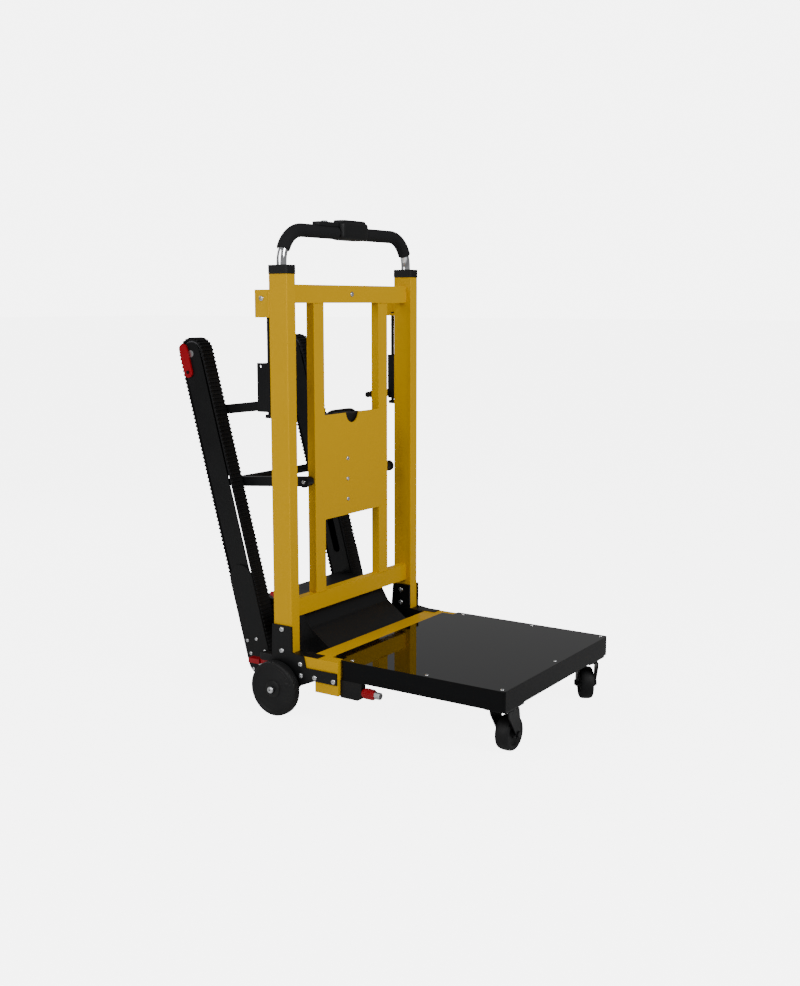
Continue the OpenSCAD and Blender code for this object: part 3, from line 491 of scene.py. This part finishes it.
def belt(side):
    lap = 2 * run + 2 * pi * PITCH_R
    s = np.arange(TEETH * PER_TOOTH) * lap / (TEETH * PER_TOOTH)
    arc = pi * PITCH_R
    part = np.digitize(s, [run, run + arc, 2 * run + arc])
    turn = np.select([part == 1, part == 3],
                     [(s - run) / PITCH_R, pi + (s - 2 * run - arc) / PITCH_R], 0.0)
    turn = np.where(part == 2, pi, turn)
    l = np.select([part == 0, part == 1, part == 2], [s, run, run - (s - run - arc)], 0.0)
    normal = np.cos(turn)[:, None] * across + np.sin(turn)[:, None] * along
    rise = np.clip(np.cos(2 * pi * TEETH * s / lap) * STEEPNESS + DUTY, 0, 1)
    # The section, point by point: place across, thickness in mm and share of the tooth.
    x = np.array([0, -.3, -.475, -.5, -.5, -.48, -.43, -.2, 0, .2, .43, .48, .5, .5, .475, .3])
    base = np.array([0, 0, 0, 1.2, 3, 3.9, 4, 4, 4, 4, 4, 3.9, 3, 1.2, 0, 0]) / 1000
    full = np.array([0, 0, 0, 0, .4, .85, 1, 1, 1, 1, 1, .85, .4, 0, 0, 0])
    height = LOOP_R + base[None] + BELT_TOOTH * full[None] * rise[:, None]
    middle = drive + l[:, None] * along
    middle[:, 0] = 0
    across_x = side * ((belt_in + belt_out) / 2 + x * (belt_out - belt_in))
    points = middle[:, None, :] + height[..., None] * normal[:, None, :]
    points[..., 0] = across_x[None]
    return loft(points, looped=True)


piece("rubber_track_left", belt(-1), "track_rubber", "track_left", ["belt_left"])
piece("rubber_track_right", belt(1), "track_rubber", "track_right", ["belt_right"])

# %% [markdown]
# ## Wheels
# A wheel is turned: a profile of radius against width goes once round the axle. The tread is
# cut by lowering the radius in shallow slanted grooves, and the hub has a boss, a dished
# face with a raised ring, and a rim. Only half of each profile is written down, since the
# wheel's two faces mirror each other.

# %%
EASE = 0.8
GROOVES, SLANT, GROOVE_DEPTH = 30, 260, 0.0011
TREAD_FROM_R, PLAIN_HALF = 0.0603, 0.0025


def mirrored(profile):
    profile = np.asarray(profile, float)
    return np.concatenate([profile, profile[::-1] * [1, -1]])


def smooth_profile(points, between=5):
    points = np.asarray(points, float)
    t = np.arange(len(points))
    fine = np.linspace(0, len(points) - 1, (len(points) - 1) * between + 1)
    slope = np.gradient(points, axis=0)
    k = np.clip(fine.astype(int), 0, len(points) - 2)
    f = (fine - k)[:, None]
    return ((2*f**3 - 3*f**2 + 1) * points[k] + (f**3 - 2*f**2 + f) * slope[k] * EASE
            + (3*f**2 - 2*f**3) * points[k + 1] + (f**3 - f**2) * slope[k + 1] * EASE)


def tread(angle, width, radius):
    slant = np.cos(GROOVES * angle + np.abs(width) * SLANT)
    groove = np.clip(slant * 3 - 2.1, 0, 1)
    return -GROOVE_DEPTH * groove * (radius > TREAD_FROM_R) * (np.abs(width) > PLAIN_HALF)


tyre = mirrored(smooth_profile([(0.0497, -0.0100), (0.0530, -0.0119), (0.0570, -0.01185),
    (0.0602, -0.0105), (0.0618, -0.0080), (0.06235, -0.0045), (0.0625, -0.0015)]))
hub = [(0.0, 0.0118), (0.0085, 0.0118), (0.0180, 0.0118), (0.0196, 0.0108), (0.0205, 0.0080),
    (0.0235, 0.0066), (0.0300, 0.0064), (0.0312, 0.0078), (0.0332, 0.0078), (0.0344, 0.0064),
    (0.0425, 0.0066), (0.0445, 0.0098), (0.0490, 0.0100), (0.0494, 0.0090)]
hub = mirrored(hub)
for side, sign in (("left", -1), ("right", 1)):
    centre = joints["wheel_spin_" + side]["pos_m"]
    piece("wheel_rubber_" + side, turned(tyre[::-1], centre, (sign, 0, 0), 240, tread),
          "wheel_rubber", "wheel_" + side, ["wheel_tyre_" + side], 50)
    piece("wheel_disc_" + side, turned(hub, centre, (sign, 0, 0), 96), "black_plastic",
          "wheel_" + side, ["wheel_hub_" + side])

# %% [markdown]
# The casters' wheels are small solid ones with round shoulders and a dished face. They are
# turned the same way, round the axle direction that the joint gives.

# %%
small = [(0.0, 0.0156), (0.0080, 0.0156), (0.0096, 0.0146), (0.0104, 0.0112), (0.0120, 0.0104),
    (0.0220, 0.0104), (0.0236, 0.0112), (0.0250, 0.0146), (0.0272, 0.0159), (0.0320, 0.0157),
    (0.0354, 0.0136), (0.0370, 0.0096), (0.0375, 0.0048), (0.0375, 0.0)]
small = np.concatenate([np.array(small), (np.array(small[:-1]) * [1, -1])[::-1]])
for side in ("left", "right"):
    roll = joints["caster_roll_" + side]
    piece("caster_tyre_" + side, turned(small, roll["pos_m"], roll["axis"], 96),
          "wheel_rubber", "caster_" + side, ["caster_wheel_" + side])

# %% [markdown]
# ## Grips, sleeve and thumb switch
# The foam grips follow the handle round its corners. The path is a straight line and most
# of a quarter circle, and the radius falls off at each end as a quarter ellipse, like cut
# foam that has been pressed on. A bevelled curve would give the same tube, but not the
# soft ends. One grip starts further out, because the control sleeve isn't centred.

# %%
grip_low, grip_high = (np.array(c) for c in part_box("handle_foam"))
bar_y, bar_z = (grip_low[1] + grip_high[1]) / 2, grip_high[2] - 0.015
CORNER_X, BEND_R, BEND_END = 0.173, 0.070, 22.3
TUBE_R, FOAM_R, SOFT_END = 0.0112, 0.0149, 0.004
RIPPLE, RIPPLE_RATE = 0.00008, 900


def grip(sign, start):
    straight = np.linspace(start, CORNER_X, 60)[:-1]
    turn = np.radians(np.linspace(90, BEND_END, 60))
    x = np.concatenate([straight, CORNER_X + BEND_R * np.cos(turn)])
    level = np.full(len(straight), bar_z)
    z = np.concatenate([level, bar_z - BEND_R + BEND_R * np.sin(turn)])
    path = np.stack([x, np.full(len(x), bar_y), z], 1)
    walked = np.concatenate([[0], np.cumsum(np.linalg.norm(np.diff(path, axis=0), axis=1))])
    whole = walked[-1]
    fine = np.concatenate([np.linspace(0, SOFT_END, 12),
                           np.linspace(0.005, whole - 0.005, 110),
                           whole - np.linspace(SOFT_END, 0, 12)])
    path = np.stack([np.interp(fine, walked, path[:, k]) for k in range(3)], 1)
    end = np.minimum(fine, whole - fine) / SOFT_END
    soft = np.sqrt(np.clip(1 - np.clip(1 - end, 0, 1) ** 2, 0, 1))
    radius = TUBE_R + (FOAM_R - TUBE_R) * soft
    radius = radius + RIPPLE * np.sin(fine * RIPPLE_RATE) * soft
    path[:, 0] *= sign
    return tube(path, radius, (0, 1, 0), 48)


piece("foam_grips", join([grip(1, 0.0605), grip(-1, 0.0455)]), "grip_foam", "handle",
      ["handle_foam"])

# %% [markdown]
# The control sleeve is three rounded blocks that sink into each other: the body round the
# bar, a low crown on it, and the tongue that carries the thumb switch. The switch is a
# turned pad with a shallow dish for the thumb.

# %%
sleeve = {"body": ((-0.045, -0.0198, -0.016), (0.060, 0.0198, 0.0255), 7),
          "crown": ((-0.041, -0.0148, 0.020), (0.056, 0.0148, 0.0298), 6),
          "tongue": ((-0.1245, -0.0108, 0.0118), (-0.038, 0.0108, 0.0228), 6)}
bar = np.array([0.0, bar_y, bar_z])
parts = [block(bar + low, bar + high, power) for low, high, power in sleeve.values()]
piece("control_grip", join(parts), "black_plastic", "handle", ["control_sleeve"])
thumb_low, thumb_high = (np.array(c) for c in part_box("thumb_switch"))
press = [(0.0, -0.0034), (0.0070, -0.0034), (0.0075, -0.003), (0.0076, 0.0018),
    (0.0070, 0.0030), (0.0052, 0.0034), (0.0042, 0.0031), (0.0, 0.0027)]
piece("thumb_pad", turned(press, (thumb_low + thumb_high) / 2, (0, 0, 1), 48), "grey_plastic",
      "thumb", ["thumb_switch"])

# %% [markdown]
# ## Button head bolts
# All the fasteners share one form: a low dome with a six-sided socket. The socket's wall is a
# hexagon in polar form, r = a / cos(angle from the middle of the flat). The places come from
# the CAD solids themselves, so every head sits just where its bolt is.

# %%
CROWN, RIM = 0.52, 0.18
SOCKET, SOCKET_FLOOR, SOCKET_FLAT = 0.40, 0.35, 0.9
SUNK, TALLEST = 0.0004, 0.62


def button(centre, direction, radius, height, steps=48):
    t = np.linspace(0, pi / 2, 9)
    foot = [(0.0, -SUNK), (radius, -SUNK)]
    rim = [(radius, 0.0), (radius, RIM * height)]
    dome = [(radius * (CROWN + (1 - CROWN) * np.cos(a)),
             height * (RIM + (1 - RIM) * np.sin(a))) for a in t[1:]]
    socket = SOCKET * radius
    well = [(socket, height), (socket, height * SOCKET_FLOOR), (0.0, height * SOCKET_FLOOR)]
    profile = np.array(foot + rim + dome + well)

    def hexagon(angle, width, r):
        flat = np.cos((angle % (pi / 3)) - pi / 6)
        inside = (r > 0) & (r < socket * 1.01)
        return np.where(inside, socket * SOCKET_FLAT / flat - r, 0.0)

    return turned(profile, centre, direction, steps, hexagon)


def heads(node, direction_of):
    made = []
    for low, high in solids(node):
        direction = np.asarray(direction_of(low, high), float)
        axis = int(np.argmax(np.abs(direction)))
        flat = [k for k in range(3) if k != axis]
        radius = min(high[flat[0]] - low[flat[0]], high[flat[1]] - low[flat[1]]) / 2
        centre = (low + high) / 2
        top = high[axis] if direction[axis] > 0 else low[axis]
        height = min(abs(high[axis] - low[axis]), radius * TALLEST)
        centre[axis] = top - np.sign(direction[axis]) * height
        made.append(button(centre, direction, radius, height))
    print(node, len(made), "heads")
    return join(made)


print("bolt tools ready")

# %% [markdown]
# Each group of bolts says which way its heads point. The tracks' bolts point outwards. On the
# frame, bolts at the uprights' inner faces point inwards, the one in the middle of the top
# crossbar points to the front, and the rest point outwards.

# %%
def sideways(low, high):
    return (1, 0, 0) if low[0] + high[0] > 0 else (-1, 0, 0)


MIDDLE, INNER_FROM, INNER_TO = 0.05, 0.20, 0.24


def inner_or_outer(low, high):
    middle = (low[0] + high[0]) / 2
    if abs(middle) < MIDDLE:
        return (0, -1, 0)
    return (np.sign(middle) * (-1 if INNER_FROM < abs(middle) < INNER_TO else 1), 0, 0)


for side in ("left", "right"):
    piece("track_heads_" + side, heads("track_bolts_" + side, sideways), "bright_steel",
          "track_" + side, ["track_bolts_" + side])
piece("frame_heads", heads("frame_bolts", inner_or_outer), "bright_steel", "frame",
      ["frame_bolts"])

# %% [markdown]
# The rear wheels turn on long bolts, so each of these is a plain turned shank with the same
# button head at its outer end.

# %%
SHANK_R, HEAD_R, HEAD_H, HEAD_SPACE = 0.0060, 0.0080, 0.0050, 0.006
axles = []
for low, high in solids("wheel_bolts"):
    sign = 1 if low[0] > 0 else -1
    tip = max(abs(low[0]), abs(high[0]))
    centre = np.array([0, (low[1] + high[1]) / 2, (low[2] + high[2]) / 2])
    inner_end = min(abs(low[0]), abs(high[0]))
    reach = tip - HEAD_SPACE - inner_end
    shank = [(0.0, 0.0), (SHANK_R, 0.0), (SHANK_R, reach), (0.0, reach)]
    axles.append(turned(shank, centre + [sign * inner_end, 0, 0], (sign, 0, 0), 32))
    head_at = centre + [sign * (tip - 0.0055), 0, 0]
    axles.append(button(head_at, (sign, 0, 0), HEAD_R, HEAD_H))
piece("axle_heads", join(axles), "bright_steel", "frame", ["wheel_bolts"])

# %% [markdown]
# The deck's screws face up and the panel's face the front, so one direction serves each set.

# %%
piece("platform_heads", heads("platform_screws", lambda low, high: (0, 0, 1)), "bright_steel",
      "platform", ["platform_screws"])
piece("panel_heads", heads("panel_screws", lambda low, high: (0, -1, 0)), "bright_steel",
      "frame", ["panel_screws"])

# %% [markdown]
# ## Knob, pedal pad and battery
# The plunger's knob is turned and fluted so that fingers grip it. The flutes are a clipped
# cosine of the angle, taken off the radius only where the knob is widest.

# %%
FLUTES, FLUTE_DEPTH = 20, 0.0009
knob_low, knob_high = (np.array(c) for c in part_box("plunger_knob"))
knob_c = (knob_low + knob_high) / 2
half = (knob_high[1] - knob_low[1]) / 2
r = (knob_high[0] - knob_low[0]) / 2


def flutes(angle, along, radius):
    cut = np.clip(np.cos(angle * FLUTES) * 1.4, -0.4, 1)
    return -FLUTE_DEPTH * cut * (radius > r * 0.93)


knob = smooth_profile([(0.0085, -half), (0.0095, -half), (0.0098, -half + 0.004),
    (r, -half + 0.005), (r, -0.004), (r, half - 0.006), (r * 0.97, half - 0.004),
    (r * 0.80, half - 0.0005), (r * 0.70, half)], 4)
knob[:, 0] = np.minimum(knob[:, 0], r)
knob[:, 1] = np.clip(knob[:, 1], -half, half)
piece("pull_knob", turned(knob, knob_c, (0, -1, 0), 160, flutes), "red_plastic", "plunger",
      ["plunger_knob"], 50)

# %% [markdown]
# The pedal's pad is a rounded block whose top is waved into ribs, so that a wet shoe doesn't
# slip off it. The wave works on the block while it's still two units wide.

# %%
RIBS, RIB_DEPTH, TOP_FROM = 8, 0.12, 0.6
pad_low, pad_high = (np.array(c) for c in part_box("pedal_pad"))


def ribs(out):
    wave = 0.5 + 0.5 * np.cos(out[..., 1] * RIBS * pi)
    out[..., 2] -= np.where(out[..., 2] > TOP_FROM, RIB_DEPTH * (1 - wave), 0)
    return out


pad = block(pad_low, pad_high, 6, axis=1, steps=96, rings=97, wave=ribs)
piece("ribbed_pad", pad, "pad_rubber", "pedal", ["pedal_pad"])

# %% [markdown]
# The battery is a rounded case, made tight at its corners by a high power, with a carrying
# strap on top. The strap's height falls with the sixth power of the distance from the
# middle, so it runs level and then drops into the case.

# %%
STRAP_HALF, STRAP_R, STRAP_DROP, STRAP_ROOM = 0.055, 0.0034, 0.0078, 0.008
case_low, case_high = (np.array(c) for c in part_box("battery"))
shell = block(case_low, case_high - [0, 0, STRAP_ROOM], 14, axis=2, steps=96, rings=49)
x = np.linspace(-STRAP_HALF, STRAP_HALF, 50)
strap = np.stack([x, np.full(50, (case_low[1] + case_high[1]) / 2),
    case_high[2] - 0.0035 - STRAP_DROP * (np.abs(x) / STRAP_HALF) ** 6], 1)
piece("battery_case", join([shell, tube(strap, STRAP_R, (0, 1, 0), 20)]), "black_plastic",
      "battery_pack", ["battery"])

# %% [markdown]
# ## Weld beads
# Beads run where the crossbars, stiles and lugs meet the tubes. A bead is a thin tube along
# the seam whose radius swells a little at each ripple, r = r0 + a |sin|, and fades at its
# ends. They have the frame's own finish, since a frame is coated after it's welded.

# %%
STEP, RIPPLE_LONG, FADE_LONG = 0.0006, 0.0022, 0.002
STEADY, SWELL = 0.82, 0.18
TUBE_WIDE, LUG_GAP = 0.030, 0.002


def bead(start, end, width=0.0017, side=(0, 1, 0)):
    start, end = np.asarray(start, float), np.asarray(end, float)
    length = np.linalg.norm(end - start)
    s = np.linspace(0, 1, max(int(length / STEP), 12))
    path = start + s[:, None] * (end - start)
    fade = np.clip(np.minimum(s, 1 - s) * length / FADE_LONG, 0.25, 1)
    swell = STEADY + SWELL * np.abs(np.sin(pi * s * length / RIPPLE_LONG))
    return tube(path, width * fade * swell, side, 14)


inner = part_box("uprights")[1][0] - TUBE_WIDE
beads = []
for low, high in solids("crossbars"):
    for sign in (-1, 1):
        at = sign * inner
        beads += [bead((at, low[1], low[2]), (at, low[1], high[2])),
                  bead((at, high[1], low[2]), (at, high[1], high[2])),
                  bead((at, low[1], low[2]), (at, high[1], low[2]), side=(0, 0, 1)),
                  bead((at, low[1], high[2]), (at, high[1], high[2]), side=(0, 0, 1))]
for low, high in solids("stiles"):
    for z in (high[2], low[2]):
        beads += [bead((low[0], low[1], z), (high[0], low[1], z))]
for low, high in solids("guide_lugs"):
    for edge in (low[0], high[0]):
        beads += [bead((edge, low[1], low[2] + LUG_GAP), (edge, low[1], high[2] - LUG_GAP),
                       0.0014, (1, 0, 0))]
piece("weld_beads", join(beads), "yellow_coat", "frame")

# %% [markdown]
# ## Stage, light and camera
# A wide pale floor under an even sky gives the clean look of a studio. The camera sees both
# much brighter than they light the trolley, so the ground is white and the paint keeps its
# depth. Black and glossy parts would turn grey under a sky as bright as it looks.

# %%
FLOOR = 60
floor_mesh = bpy.data.meshes.new("floor")
floor_mesh.from_pydata([(-FLOOR, -FLOOR, 0), (FLOOR, -FLOOR, 0), (FLOOR, FLOOR, 0),
                        (-FLOOR, FLOOR, 0)], [], [(0, 1, 2, 3)])
floor = bpy.data.objects.new("floor", floor_mesh)
bpy.context.scene.collection.objects.link(floor)
pale = bpy.data.materials.new("pale_floor")
pale.use_nodes = True
paper = pale.node_tree
paint = next(n for n in paper.nodes if n.type == "BSDF_PRINCIPLED")
paint.inputs["Base Color"].default_value = (0.72, 0.72, 0.72, 1)
paint.inputs["Roughness"].default_value = 0.9
paint.inputs["Specular IOR Level"].default_value = 0.0
paint.inputs["Emission Color"].default_value = (1, 1, 1, 1)
floor_mesh.materials.append(pale)

world = bpy.data.worlds.new("studio")
bpy.context.scene.world = world
world.use_nodes = True
sky = next(n for n in world.node_tree.nodes if n.type == "BACKGROUND")
sky.inputs["Color"].default_value = (1, 1, 1, 1)


def seen_only(tree, socket, dim, bright):
    """The camera sees the bright value, and the object is lit by the dim one."""
    path = tree.nodes.new("ShaderNodeLightPath")
    swap = tree.nodes.new("ShaderNodeMapRange")
    swap.inputs["To Min"].default_value = dim
    swap.inputs["To Max"].default_value = bright
    tree.links.new(path.outputs["Is Camera Ray"], swap.inputs["Value"])
    tree.links.new(swap.outputs["Result"], socket)


seen_only(world.node_tree, sky.inputs["Strength"], 0.26, 6.0)
seen_only(paper, paint.inputs["Emission Strength"], 0.0, 5.4)
print("floor and sky ready")

# %% [markdown]
# One large soft lamp stands before the trolley and models the tubes. A wider one on the left
# fills the shadows, and a weak one behind draws a line of light along the far edges.

# %%
def lamp(name, place, target, size, power):
    light = bpy.data.lights.new(name, "AREA")
    light.shape = "DISK"
    light.size = size
    light.energy = power
    thing = bpy.data.objects.new(name, light)
    bpy.context.scene.collection.objects.link(thing)
    away = np.asarray(place, float) - np.asarray(target, float)
    thing.location = place
    thing.rotation_euler = (np.arctan2(np.hypot(away[0], away[1]), away[2]), 0,
                            np.arctan2(away[1], away[0]) + pi / 2)
    print(name, power, "W")


lamp("key", (-0.6, -2.8, 2.2), (0, 0, 0.5), size=1.4, power=72)
lamp("fill", (-3.0, 0.4, 1.8), (0, 0, 0.5), size=2.0, power=55)
lamp("rim", (0.5, 2.6, 2.2), (0, 0, 0.6), size=1.8, power=30)

# %% [markdown]
# The camera stands to the front and left, a little below the handle, and looks slightly
# down. A longish lens keeps the uprights nearly parallel.

# %%
eye = bpy.data.cameras.new("camera")
eye.lens = 44.73
eye.sensor_width = 36.0
camera = bpy.data.objects.new("camera", eye)
camera.location = (-2.3309, -1.5678, 0.9162)
camera.rotation_euler = (radians(81.14), 0, radians(-56.66))
bpy.context.scene.collection.objects.link(camera)
bpy.context.scene.camera = camera
print("camera at", tuple(round(value, 3) for value in camera.location))
